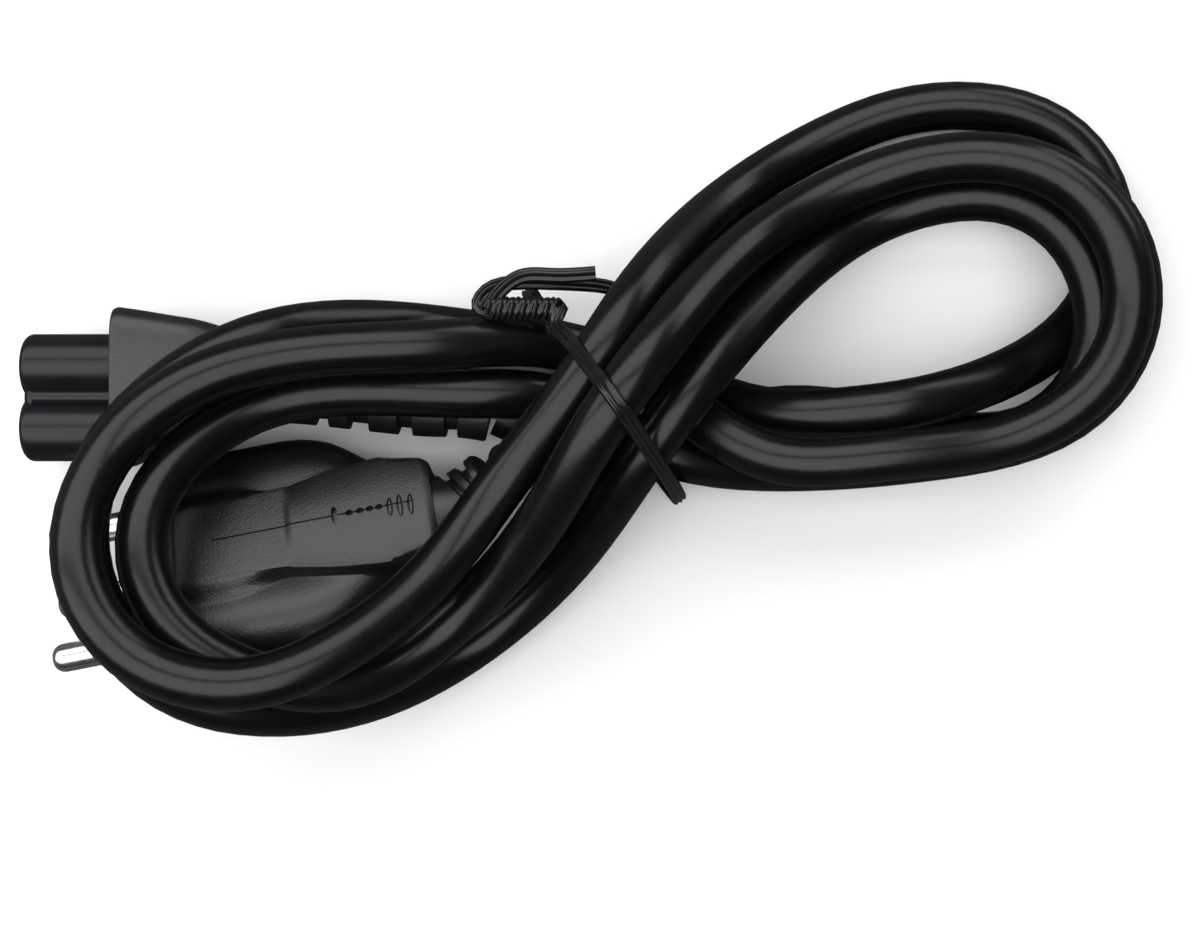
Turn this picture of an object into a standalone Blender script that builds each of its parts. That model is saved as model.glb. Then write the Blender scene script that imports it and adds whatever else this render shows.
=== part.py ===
"""Three-pin mains lead, bundled in a figure of eight with a twist tie. Sizes below are in millimetres."""

import math

import bmesh
import bpy
from mathutils import Vector

MM = 0.001
GAP = 0.3  # left between two solids that touch

CORD_DIAMETER = 7.0
CORD_SIDES = 10

# The plug lies rolled on one edge, its pins pointing left.
PLUG_FACE = (-58.1, -25.0, 11.55)
PLUG_YAW = 11.0
PLUG_ROLL = 27.0
PIN_DIAMETER = 4.0
PIN_LENGTH = 19.0
PIN_SPREAD = 9.5  # live and neutral, each side of the middle
PIN_NOSE = 1.6  # length of the rounded tip
EARTH_OFFSET = -3.0
PIN_SOCKET = 3.0
PIN_CLEARANCE = 0.3
# Distance from the pin's tip, and how much thinner the pin is there.
PIN_TIP = ((0.0, 1.2), (0.25, 0.6), (0.8, 0.18))
GRIP_SLOPE_START = 0.6  # how far inside the grip's half width its slope starts
GRIP_SLOPE = 1.8
EDGE_ROUNDING = 9.0  # larger is squarer at the body's side edges

# The appliance connector lies flat, its nose pointing left.
NOSE_FRONT = -81.0
NOSE_LENGTH = 13.0
NOSE_MIDDLE = (0.1, 8.0)
NOSE_CORE = 4.6
HOOD_FRONT = NOSE_FRONT + NOSE_LENGTH + GAP
HOOD_AXIS_HEIGHT = 8.0
HOOD_SQUARENESS = 0.45  # 1 is an ellipse
HOOD_ROUND_FROM = 19.1  # behind this distance the hood is round
LOBE_RADIUS = 4.4
LOBES = ((-4.75, 1.9), (4.75, 1.9), (0.0, -3.1))
CONTACT_BORE = 2.4
CONTACT_WALL = 0.3
CONTACT_DEPTH = 9.8
CONTACT_LIP = 1.5  # how far behind the front the sleeve starts
LIP_CLEARANCE = 0.25
# Distance from the nose's front, and the outline's scale there.
NOSE_ROUNDING = ((0.0, 0.9), (0.35, 0.96), (0.9, 1.0))
CUTTER_REACH = 1.0  # how far a cutter stands out of the face that it cuts

TIE_DIAMETER = 1.5

# Sides of the round and lofted solids.
PLUG_SIDES = 48
PIN_SIDES = 24
RELIEF_SIDES = 20
HOOD_SIDES = 32
NOSE_SIDES = 72
SLEEVE_SIDES = 20
TIE_SIDES = 8
TIE_TURN_STEPS = 8

# Distance from the face, half width, lobe half thickness, grip half thickness, grip half width, valley depth.
PLUG_SECTIONS = (
    (0.0, 16.2, 5.8, 7.0, 5.8, 1.2),
    (1.0, 17.1, 6.6, 8.0, 6.4, 1.7),
    (8.0, 17.2, 6.7, 8.3, 6.5, 2.0),
    (16.0, 17.2, 6.7, 8.3, 6.5, 2.0),
    (20.0, 16.8, 6.6, 8.3, 6.4, 1.9),
    (23.5, 15.5, 6.5, 8.2, 6.2, 1.6),
    (26.5, 13.2, 6.3, 8.1, 6.0, 1.1),
    (29.0, 10.8, 6.2, 8.0, 5.9, 0.6),
    (31.0, 9.2, 6.2, 8.0, 5.8, 0.2),
    (33.0, 8.5, 6.4, 8.1, 5.8, 0.0),
    (35.0, 8.2, 6.4, 8.3, 6.0, 0.0),
    (36.8, 8.0, 6.6, 8.5, 6.2, 0.0),
    (37.6, 7.4, 6.0, 7.9, 5.6, 0.0),
)
PLUG_RELIEF = ((-23.0, -18.2, 11.8), (-18.6, -16.3, 11.7), (-15.8, -13.4, 11.4), (-13.9, -11.5, 11.7))
PLUG_RELIEF_RADII = (7.2, 6.4, 5.0, 4.6)

# Distance along X from the hood's front, half width, half height, middle in Y.
HOOD_SECTIONS = (
    (0.0, 11.0, 7.6, 1.6),
    (0.6, 11.4, 8.0, 1.6),
    (3.5, 10.6, 8.0, 2.0),
    (7.5, 9.7, 8.0, 2.2),
    (12.1, 8.9, 7.7, 2.3),
    (15.6, 8.0, 7.0, 2.1),
    (18.1, 6.6, 6.0, 1.7),
    (20.1, 5.2, 5.0, 1.4),
)
# Distance along X from the hood's front, then Y and height.
HOOD_RELIEF = (
    (18.1, 1.4, 8.1), (25.1, 1.1, 8.2), (33.1, 0.2, 8.3),
    (43.1, -0.9, 8.4), (48.8, -1.2, 8.5), (53.4, -2.0, 8.2),
)
HOOD_RELIEF_RADII = (4.8, 4.7, 4.6, 4.5, 4.4, 4.3)

# The lead from the connector to the plug.
CORD_ROUTE = (
    (-13.1, -1.9, 8), (5.3, -7.3, 6.1), (23.3, -2.1, 3.5), (40.2, -2.7, 7.9),
    (59, -5.3, 11.6), (70.7, 4.4, 14.2), (69.6, 19.4, 14.9), (58.2, 28.4, 12.5),
    (41.6, 25.9, 9.6), (27.5, 15.7, 16), (15.9, 3.1, 24.2), (6.4, -9.6, 23),
    (-3.1, -23.2, 11.1), (-15.9, -35, 5.4), (-30, -42.2, 12), (-44.8, -43.3, 21.8),
    (-58.4, -37.7, 27.3), (-68, -24.2, 24.6), (-67.3, -9.1, 20.5), (-56.4, 2.6, 20),
    (-42.4, 9.2, 16.8), (-27.1, 10.7, 6.8), (-10.2, 8.6, 5.8), (6.9, 5.1, 6.3),
    (22, -1.3, 12), (37.7, -2, 18.3), (54.2, 1.5, 14.7), (70.7, 10.9, 5.8),
    (76.6, 26.3, 3.6), (68.3, 39.9, 3.5), (50.9, 43.3, 3.5), (34.7, 38.3, 3.8),
    (19.5, 28.3, 9.6), (7.3, 14.6, 25.1), (-1.4, 1.3, 28.8), (-11.1, -11.1, 24.8),
    (-20.6, -23.6, 26), (-31.7, -33, 32), (-45.1, -37.9, 36.1), (-59.5, -33.7, 35.7),
    (-66.8, -20.8, 33.2), (-63, -6.7, 28.3), (-50.9, 2.5, 26.7), (-36, 5.9, 24.3),
    (-20.4, 6.9, 21.5), (-4.3, 7.3, 14.7), (10.4, 0.7, 15.2), (24.4, -8.3, 20.2),
    (40.4, -8.4, 22), (56.5, -6.2, 20.1), (69.9, 2.1, 21.6), (73.6, 16.9, 22.1),
    (64.9, 29.8, 21.2), (50.1, 33.2, 17.3), (34.8, 28.9, 15.2), (20.4, 19.4, 21.1),
    (9.3, 6.7, 32.8), (0.4, -5.9, 33.7), (-7.9, -19.2, 24.9), (-19.3, -31.5, 18.3),
    (-32.2, -39.3, 22.7), (-46.4, -37.1, 28.6), (-57, -28.6, 29.5), (-59.1, -15, 26.3),
    (-49.3, -3.1, 19.1), (-34.3, 0.7, 16.7), (-17.7, 0.4, 16.9), (-3.5, -0.9, 13.7),
    (11.5, -8, 12.9), (31.7, -9.9, 5), (48.7, -8.6, 3.5), (67.9, -4, 4.2),
    (77.7, 8.3, 9.7), (75.8, 23.3, 12.5), (63.7, 33.7, 8.4), (41, 32.8, 3.5),
    (22.1, 19.1, 12.1), (8.8, 5.6, 22.6), (-0.2, -4.5, 21.7), (-12.1, -10, 13),
)

# The tie: a tail, one twisted wire to the right, round the crossing, the other back to the left, a tail.
TIE_TAIL_TOP = (
    (0.8, 16.8, 20.2), (-3.9, 16.5, 20.3), (-7.3, 16.6, 20.5), (-9.5, 16.3, 20.8), (-11.3, 15.2, 21.2),
    (-13.0, 13.3, 21.8),
)
TIE_TAIL_UNDER = (
    (-15.4, 12.3, 19.2), (-14.3, 14.6, 18.4), (-10.8, 15.8, 17.6), (-5.1, 15.9, 16.6), (0.9, 15.9, 14.5),
)
TIE_KNOT_LEFT = -13.7
TIE_KNOT_RIGHT = -4.1
TIE_KNOT_AXIS = (11.6, 21.5)
TIE_KNOT_RADIUS = 1.15
TIE_KNOT_TURNS = 3
# The loop lies in an upright plane: where that starts, which way it runs, then distance along it and height.
TIE_PLANE = (-4.0, 8.6)
TIE_PLANE_TURN = -53.9
TIE_LOOP = (
    (-1.0, 23.9), (0.6, 27.0), (2.0, 29.9), (3.6, 32.1), (6.6, 34.4), (9.8, 36.8), (12.7, 38.1), (15.4, 37.4),
    (17.4, 35.2), (20.8, 30.5), (24.1, 26.2), (26.2, 21.6), (27.9, 16.0), (28.6, 10.2), (28.3, 5.2),
    (26.4, 1.7),
    (22.5, 0.95), (12.0, 0.9), (1.0, 0.9), (-5.2, 1.4), (-7.7, 3.6), (-8.1, 8.0), (-8.2, 13.0), (-6.6, 17.4),
    (-3.8, 19.0),
)

bpy.ops.object.select_all(action="DESELECT")
for obj in list(bpy.data.objects):
    bpy.data.objects.remove(obj, do_unlink=True)


def material(name, colour, roughness, metallic=0.0):
    mat = bpy.data.materials.new(name)
    mat.use_nodes = True
    shader = mat.node_tree.nodes["Principled BSDF"]
    shader.inputs["Base Color"].default_value = (*colour, 1.0)
    shader.inputs["Roughness"].default_value = roughness
    shader.inputs["Metallic"].default_value = metallic
    return mat


def metres(point):
    return tuple(c * MM for c in point)


def mesh_object(name, points, faces, mat):
    """A mesh from points in millimetres."""
    mesh = bpy.data.meshes.new(name)
    mesh.from_pydata([metres(point) for point in points], [], faces)
    bm = bmesh.new()
    bm.from_mesh(mesh)
    bmesh.ops.recalc_face_normals(bm, faces=bm.faces)
    bm.to_mesh(mesh)
    bm.free()
    mesh.materials.append(mat)
    obj = bpy.data.objects.new(name, mesh)
    bpy.context.scene.collection.objects.link(obj)
    return obj


def loft(name, rings, mat):
    """Closed rings of equal length, joined in turn and capped."""
    count = len(rings[0])
    faces = []
    for i in range(len(rings) - 1):
        for k in range(count):
            m = (k + 1) % count
            faces.append((i * count + k, i * count + m, (i + 1) * count + m, (i + 1) * count + k))
    faces.append(tuple(range(count)))
    faces.append(tuple((len(rings) - 1) * count + k for k in range(count)))
    return mesh_object(name, [p for ring in rings for p in ring], faces, mat)


def tube(name, path, radii, sides, mat):
    """A round tube along a path, its rings turned as little as possible."""
    path = [Vector(p) for p in path]
    along = []
    for i in range(len(path)):
        along.append((path[min(i + 1, len(path) - 1)] - path[max(i - 1, 0)]).normalized())
    across = along[0].orthogonal().normalized()
    rings = []
    for i, point in enumerate(path):
        across = (across - along[i] * across.dot(along[i])).normalized()
        other = along[i].cross(across)
        ring = []
        for k in range(sides):
            turn = 2 * math.pi * k / sides
            ring.append(tuple(point + radii[i] * (across * math.cos(turn) + other * math.sin(turn))))
        rings.append(ring)
    return loft(name, rings, mat)


def lathe(name, profile, sides, place, mat):
    """Turned about its own X. The profile starts and ends on the axis, or else closes on itself."""
    closed = profile[0][1] > 0
    rings = []
    for x, radius in profile:
        if radius > 0:
            turns = [2 * math.pi * k / sides for k in range(sides)]
            rings.append([place((x, radius * math.cos(t), radius * math.sin(t))) for t in turns])
        else:
            rings.append([place((x, 0.0, 0.0))])
    points = [p for ring in rings for p in ring]
    starts = [sum(len(r) for r in rings[:i]) for i in range(len(rings))]
    faces = []
    pairs = [(i, i + 1) for i in range(len(rings) - 1)]
    if closed:
        pairs.append((len(rings) - 1, 0))
    for i, j in pairs:
        for k in range(sides):
            m = (k + 1) % sides
            a = [starts[i] + k, starts[i] + m] if len(rings[i]) > 1 else [starts[i]]
            b = [starts[j] + m, starts[j] + k] if len(rings[j]) > 1 else [starts[j]]
            faces.append(tuple(a + b))
    return mesh_object(name, points, faces, mat)


def boolean(obj, cutter, operation):
    modifier = obj.modifiers.new(operation.lower(), "BOOLEAN")
    modifier.operation = operation
    modifier.solver = "EXACT"
    modifier.object = cutter
    cutter.hide_render = True


# Places a point of the plug's own frame: distance behind the face, across the pins, through its thickness.
yaw = math.radians(PLUG_YAW)
roll = math.radians(PLUG_ROLL)
plug_back = Vector((math.cos(yaw), math.sin(yaw), 0.0))
plug_side = Vector((math.sin(yaw), -math.cos(yaw), 0.0))
plug_across = plug_side * math.cos(roll) + Vector((0, 0, 1)) * math.sin(roll)
plug_through = Vector((0, 0, 1)) * math.cos(roll) - plug_side * math.sin(roll)


def in_plug(point):
    back, across, through = point
    return tuple(Vector(PLUG_FACE) + plug_back * back + plug_across * across + plug_through * through)


def plug_half_height(w, half_width, lobe, grip, grip_width, valley):
    """Half the plug's thickness at a distance w from its middle."""
    w = abs(w)
    inner = half_width - lobe
    if w > inner:
        side = math.sqrt(max(lobe**2 - (w - inner) ** 2, 0.0))
    else:
        side = lobe - valley * math.cos(0.5 * math.pi * min(w / max(inner, 0.1), 1.0)) ** 2
    shoulder = min(max((w - grip_width + GRIP_SLOPE_START) / GRIP_SLOPE, 0.0), 1.0)
    top = grip - (grip - lobe + valley) * (3 * shoulder**2 - 2 * shoulder**3)
    return min(max(side, top), side + EDGE_ROUNDING * (1.0 - w / half_width) ** 0.5)


black = (0.012, 0.012, 0.013)
cord_pvc = material("cord_pvc", black, 0.32)
moulded_pvc = material("moulded_pvc", (0.02, 0.02, 0.02), 0.6)
hard_plastic = material("hard_plastic", (0.016, 0.014, 0.017), 0.28)
nickel = material("nickel", (0.75, 0.73, 0.7), 0.2, 1.0)
contact_brass = material("contact_brass", (0.7, 0.55, 0.3), 0.35, 1.0)
tie_pvc = material("tie_pvc", black, 0.4)

# The lead.
curve = bpy.data.curves.new("cord", "CURVE")
curve.dimensions = "3D"
curve.bevel_depth = CORD_DIAMETER / 2 * MM
curve.bevel_resolution = CORD_SIDES // 2 - 2
curve.use_fill_caps = True
spline = curve.splines.new("POLY")
spline.points.add(len(CORD_ROUTE) - 1)
for point, spot in zip(spline.points, CORD_ROUTE):
    point.co = (*metres(spot), 1.0)
cord = bpy.data.objects.new("cord", curve)
cord.data.materials.append(cord_pvc)
bpy.context.scene.collection.objects.link(cord)

# The plug: body, strain relief and three round pins in sockets.
rings = []
for back, *shape in PLUG_SECTIONS:
    half = PLUG_SIDES // 2
    turns = [math.pi * (k / half - 0.5) for k in range(half + 1)]
    spots = [shape[0] * math.sin(t) for t in turns]
    upper = [in_plug((back, w, max(plug_half_height(w, *shape), 0.0))) for w in spots]
    lower = [in_plug((back, w, -max(plug_half_height(w, *shape), 0.0))) for w in spots[-2:0:-1]]
    rings.append(upper + lower)
plug_body = loft("plug_body", rings, moulded_pvc)
relief = tube("plug_relief_cutter", PLUG_RELIEF, PLUG_RELIEF_RADII, RELIEF_SIDES, moulded_pvc)
boolean(plug_body, relief, "UNION")

pin_radius = PIN_DIAMETER / 2
pin_tip = [(-PIN_LENGTH + along, pin_radius - thinner) for along, thinner in PIN_TIP]
pin_root = PIN_SOCKET - GAP
pin_shank = [(-PIN_LENGTH + PIN_NOSE, pin_radius), (pin_root, pin_radius), (pin_root, 0.0)]
pin_profile = [(-PIN_LENGTH, 0.0), *pin_tip, *pin_shank]
for name, across, through in (
    ("pin_live", PIN_SPREAD, 0.0),
    ("pin_neutral", -PIN_SPREAD, 0.0),
    ("pin_earth", 0.0, EARTH_OFFSET),
):
    def in_pin(point, across=across, through=through):
        return in_plug((point[0], point[1] + across, point[2] + through))

    lathe(name, pin_profile, PIN_SIDES, in_pin, nickel)
    socket_radius = pin_radius + PIN_CLEARANCE
    socket_mouth = ((-CUTTER_REACH, 0.0), (-CUTTER_REACH, socket_radius))
    socket_profile = socket_mouth + ((PIN_SOCKET, socket_radius), (PIN_SOCKET, 0.0))
    socket = lathe(name + "_socket_cutter", socket_profile, PIN_SIDES, in_pin, moulded_pvc)
    boolean(plug_body, socket, "DIFFERENCE")

# The appliance connector: a moulded hood with its strain relief, a hard nose and three contact sleeves.
rings = []
for along, half_width, half_height, middle in HOOD_SECTIONS:
    ring = []
    for k in range(HOOD_SIDES):
        turn = 2 * math.pi * (k + 0.5) / HOOD_SIDES
        c = math.cos(turn)
        s = math.sin(turn)
        power = HOOD_SQUARENESS if along < HOOD_ROUND_FROM else 1.0
        y = half_width * math.copysign(abs(c) ** power, c)
        z = half_height * math.copysign(abs(s) ** power, s)
        ring.append((HOOD_FRONT + along, middle + y, HOOD_AXIS_HEIGHT + z))
    rings.append(ring)
connector_hood = loft("connector_hood", rings, moulded_pvc)
relief_path = [(HOOD_FRONT + along, y, z) for along, y, z in HOOD_RELIEF]
relief = tube("hood_relief_cutter", relief_path, HOOD_RELIEF_RADII, RELIEF_SIDES, moulded_pvc)
boolean(connector_hood, relief, "UNION")


def nose_radius(turn):
    """Distance from the nose's middle to its outline: three round lobes about a core."""
    c = math.cos(turn)
    s = math.sin(turn)
    best = NOSE_CORE
    for y, z in LOBES:
        dot = y * c + z * s
        inside = LOBE_RADIUS**2 - (y * y + z * z) + dot * dot
        if inside > 0:
            best = max(best, dot + math.sqrt(inside))
    return best


rings = []
for along, scale in (*NOSE_ROUNDING, (NOSE_LENGTH, 1.0)):
    ring = []
    for k in range(NOSE_SIDES):
        turn = 2 * math.pi * k / NOSE_SIDES
        reach = nose_radius(turn) * scale
        y = NOSE_MIDDLE[0] + reach * math.cos(turn)
        z = NOSE_MIDDLE[1] + reach * math.sin(turn)
        ring.append((NOSE_FRONT + along, y, z))
    rings.append(ring)
connector_nose = loft("connector_nose", rings, hard_plastic)

sleeve_radius = CONTACT_BORE / 2 + CONTACT_WALL
for name, (y, z) in zip(("contact_neutral", "contact_live", "contact_earth"), LOBES):
    def in_nose(point, y=y, z=z):
        return (NOSE_FRONT + point[0], NOSE_MIDDLE[0] + y + point[1], NOSE_MIDDLE[1] + z + point[2])

    way_in = CONTACT_BORE / 2 + LIP_CLEARANCE
    seat = sleeve_radius + GAP
    mouth = ((-CUTTER_REACH, 0.0), (-CUTTER_REACH, way_in), (CONTACT_LIP, way_in))
    cut = mouth + ((CONTACT_LIP, seat), (CONTACT_DEPTH, seat), (CONTACT_DEPTH, 0.0))
    bore = lathe(name + "_bore_cutter", cut, SLEEVE_SIDES, in_nose, hard_plastic)
    boolean(connector_nose, bore, "DIFFERENCE")
    ends = (CONTACT_LIP + GAP, CONTACT_DEPTH - GAP)
    wall = (CONTACT_BORE / 2, sleeve_radius)
    sleeve = ((ends[0], wall[0]), (ends[1], wall[0]), (ends[1], wall[1]), (ends[0], wall[1]))
    lathe(name, sleeve, SLEEVE_SIDES, in_nose, contact_brass)

# The twist tie.
turns = TIE_KNOT_TURNS * TIE_TURN_STEPS
first = []
second = []
for k in range(turns + 1):
    x = TIE_KNOT_LEFT + (TIE_KNOT_RIGHT - TIE_KNOT_LEFT) * k / turns
    turn = math.pi / 2 - 2 * math.pi * k / TIE_TURN_STEPS
    y = TIE_KNOT_RADIUS * math.cos(turn)
    z = TIE_KNOT_RADIUS * math.sin(turn)
    first.append((x, TIE_KNOT_AXIS[0] + y, TIE_KNOT_AXIS[1] + z))
    second.append((x, TIE_KNOT_AXIS[0] - y, TIE_KNOT_AXIS[1] - z))
run = math.radians(TIE_PLANE_TURN)
loop = [(TIE_PLANE[0] + d * math.cos(run), TIE_PLANE[1] + d * math.sin(run), z) for d, z in TIE_LOOP]
tie_path = list(TIE_TAIL_TOP) + first + loop + second[::-1] + list(TIE_TAIL_UNDER)
tube("twist_tie", tie_path, [TIE_DIAMETER / 2] * len(tie_path), TIE_SIDES, tie_pvc)
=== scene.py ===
"""Looks of a three-pin power cord: the bundled lead, its plug, its connector and the twist tie."""

import math

import bmesh
import bpy
import numpy as np
from mathutils import Matrix, Vector


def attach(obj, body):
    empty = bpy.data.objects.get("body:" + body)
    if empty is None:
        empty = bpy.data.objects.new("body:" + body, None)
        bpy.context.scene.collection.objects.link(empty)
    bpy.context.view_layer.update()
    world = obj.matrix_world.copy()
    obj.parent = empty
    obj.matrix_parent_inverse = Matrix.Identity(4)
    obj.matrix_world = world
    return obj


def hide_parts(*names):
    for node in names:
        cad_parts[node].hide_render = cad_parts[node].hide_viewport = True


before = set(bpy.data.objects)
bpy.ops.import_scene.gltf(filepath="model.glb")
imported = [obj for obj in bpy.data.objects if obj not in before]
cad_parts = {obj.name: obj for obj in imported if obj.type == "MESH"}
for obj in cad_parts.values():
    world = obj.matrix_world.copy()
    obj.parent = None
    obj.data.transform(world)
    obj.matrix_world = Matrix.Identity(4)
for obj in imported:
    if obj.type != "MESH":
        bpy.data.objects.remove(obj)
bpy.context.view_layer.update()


# The view. The bundle lies on a white sheet and is photographed from straight above, close by, so what lies
# higher looks larger. The pins, the lead and the connector's nose give the camera's height and its lens.
PHOTO_WIDTH = 1200
FOCAL_PIXELS = 1739.5
SENSOR_WIDTH = 36.0
CAMERA_PLACE = (0.0014, -0.0105, 0.26)

camera_data = bpy.data.cameras.new("photo_camera")
camera_data.sensor_fit = "HORIZONTAL"
camera_data.sensor_width = SENSOR_WIDTH
camera_data.lens = SENSOR_WIDTH * FOCAL_PIXELS / PHOTO_WIDTH
camera_data.clip_start = 0.01
camera = bpy.data.objects.new("photo_camera", camera_data)
camera.location = CAMERA_PLACE
bpy.context.scene.collection.objects.link(camera)
bpy.context.scene.camera = camera


# The lead. Three stranded cores in one round sheath of soft black PVC, drawn through a die, so it is smooth
# with a fine grain and a soft sheen. It leaves the connector, goes round the figure of eight and ends in
# the plug.
LEAD_DIAMETER = 0.007
LEAD_STEPS = 6  # points of the smooth line for each stretch of the route
LEAD_BEVEL = 14  # its bevel resolution, for 32 sides
LEAD_COLOUR = (0.0020, 0.0021, 0.0021)
LEAD_WORN = (0.0040, 0.0042, 0.0040)
LEAD_ROUTE = (
    (-0.0131, -0.0019, 0.0080), (0.0053, -0.0073, 0.0061), (0.0233, -0.0021, 0.0035),
    (0.0402, -0.0027, 0.0079), (0.0590, -0.0053, 0.0116), (0.0707, 0.0044, 0.0142),
    (0.0696, 0.0194, 0.0149), (0.0582, 0.0284, 0.0125), (0.0416, 0.0259, 0.0096),
    (0.0275, 0.0157, 0.0160), (0.0159, 0.0031, 0.0242), (0.0064, -0.0096, 0.0230),
    (-0.0031, -0.0232, 0.0111), (-0.0159, -0.0350, 0.0054), (-0.0300, -0.0422, 0.0120),
    (-0.0448, -0.0433, 0.0218), (-0.0584, -0.0377, 0.0273), (-0.0680, -0.0242, 0.0246),
    (-0.0673, -0.0091, 0.0205), (-0.0564, 0.0026, 0.0200), (-0.0424, 0.0092, 0.0168),
    (-0.0271, 0.0107, 0.0068), (-0.0102, 0.0086, 0.0058), (0.0069, 0.0051, 0.0063),
    (0.0220, -0.0013, 0.0120), (0.0377, -0.0020, 0.0183), (0.0542, 0.0015, 0.0147),
    (0.0707, 0.0109, 0.0058), (0.0766, 0.0263, 0.0036), (0.0683, 0.0399, 0.0035),
    (0.0509, 0.0433, 0.0035), (0.0347, 0.0383, 0.0038), (0.0195, 0.0283, 0.0096),
    (0.0073, 0.0146, 0.0251), (-0.0014, 0.0013, 0.0288), (-0.0111, -0.0111, 0.0248),
    (-0.0206, -0.0236, 0.0260), (-0.0317, -0.0330, 0.0320), (-0.0451, -0.0379, 0.0361),
    (-0.0595, -0.0337, 0.0357), (-0.0668, -0.0208, 0.0332), (-0.0630, -0.0067, 0.0283),
    (-0.0509, 0.0025, 0.0267), (-0.0360, 0.0059, 0.0243), (-0.0204, 0.0069, 0.0215),
    (-0.0043, 0.0073, 0.0147), (0.0104, 0.0007, 0.0152), (0.0244, -0.0083, 0.0202),
    (0.0404, -0.0084, 0.0220), (0.0565, -0.0062, 0.0201), (0.0699, 0.0021, 0.0216),
    (0.0736, 0.0169, 0.0221), (0.0649, 0.0298, 0.0212), (0.0501, 0.0332, 0.0173),
    (0.0348, 0.0289, 0.0152), (0.0204, 0.0194, 0.0211), (0.0093, 0.0067, 0.0328),
    (0.0004, -0.0059, 0.0337), (-0.0079, -0.0192, 0.0249), (-0.0193, -0.0315, 0.0183),
    (-0.0322, -0.0393, 0.0227), (-0.0464, -0.0371, 0.0286), (-0.0570, -0.0286, 0.0295),
    (-0.0591, -0.0150, 0.0263), (-0.0493, -0.0031, 0.0191), (-0.0343, 0.0007, 0.0167),
    (-0.0177, 0.0004, 0.0169), (-0.0035, -0.0009, 0.0137), (0.0115, -0.0080, 0.0129),
    (0.0317, -0.0099, 0.0050), (0.0487, -0.0086, 0.0035), (0.0679, -0.0040, 0.0042),
    (0.0777, 0.0083, 0.0097), (0.0758, 0.0233, 0.0125), (0.0637, 0.0337, 0.0084),
    (0.0410, 0.0328, 0.0035), (0.0221, 0.0191, 0.0121), (0.0088, 0.0056, 0.0226),
    (-0.0002, -0.0045, 0.0217), (-0.0121, -0.0100, 0.0130),
)


def smooth_line(points, steps):
    """Points on the natural cubic curve that goes through these points."""
    points = np.array(points)
    inner = len(points) - 2
    system = 4 * np.eye(inner) + np.eye(inner, k=1) + np.eye(inner, k=-1)
    bends = np.zeros_like(points)
    bends[1:-1] = np.linalg.solve(system, 6 * (points[:-2] - 2 * points[1:-1] + points[2:]))
    line = []
    for i in range(len(points) - 1):
        start = points[i] - bends[i] / 6
        end = points[i + 1] - bends[i + 1] / 6
        for t in np.arange(steps) / steps:
            line.append(bends[i] * (1 - t) ** 3 / 6 + bends[i + 1] * t**3 / 6 + start * (1 - t) + end * t)
    line.append(points[-1])
    return [Vector(point) for point in line]


def make_grain():
    """The fine grain that every moulded or drawn plastic here has: uneven roughness and a shallow bump."""
    group = bpy.data.node_groups.new("plastic_grain", "ShaderNodeTree")
    defaults = {"Grains per metre": 2500.0, "Relief": 0.3, "Roughness": 0.4, "Unevenness": 0.1}
    for name, default in defaults.items():
        socket = group.interface.new_socket(name, in_out="INPUT", socket_type="NodeSocketFloat")
        socket.default_value = default
    group.interface.new_socket("Roughness", in_out="OUTPUT", socket_type="NodeSocketFloat")
    group.interface.new_socket("Patches", in_out="OUTPUT", socket_type="NodeSocketFloat")
    group.interface.new_socket("Normal", in_out="OUTPUT", socket_type="NodeSocketVector")
    nodes, links = group.nodes, group.links
    inputs = nodes.new("NodeGroupInput")
    outputs = nodes.new("NodeGroupOutput")
    place = nodes.new("ShaderNodeTexCoord")
    fine = nodes.new("ShaderNodeTexNoise")
    fine.inputs["Detail"].default_value = 3.0
    links.new(place.outputs["Object"], fine.inputs["Vector"])
    links.new(inputs.outputs["Grains per metre"], fine.inputs["Scale"])
    broad = nodes.new("ShaderNodeTexNoise")
    broad.inputs["Scale"].default_value = 160.0
    broad.inputs["Detail"].default_value = 4.0
    links.new(place.outputs["Object"], broad.inputs["Vector"])
    bump = nodes.new("ShaderNodeBump")
    bump.inputs["Distance"].default_value = 0.0001
    links.new(inputs.outputs["Relief"], bump.inputs["Strength"])
    links.new(fine.outputs["Fac"], bump.inputs["Height"])
    centred = nodes.new("ShaderNodeMath")
    centred.operation = "SUBTRACT"
    centred.inputs[1].default_value = 0.5
    links.new(broad.outputs["Fac"], centred.inputs[0])
    uneven = nodes.new("ShaderNodeMath")
    uneven.operation = "MULTIPLY_ADD"
    links.new(centred.outputs[0], uneven.inputs[0])
    links.new(inputs.outputs["Unevenness"], uneven.inputs[1])
    links.new(inputs.outputs["Roughness"], uneven.inputs[2])
    links.new(uneven.outputs[0], outputs.inputs["Roughness"])
    links.new(broad.outputs["Fac"], outputs.inputs["Patches"])
    links.new(bump.outputs["Normal"], outputs.inputs["Normal"])
    return group


plastic_grain = make_grain()


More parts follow.
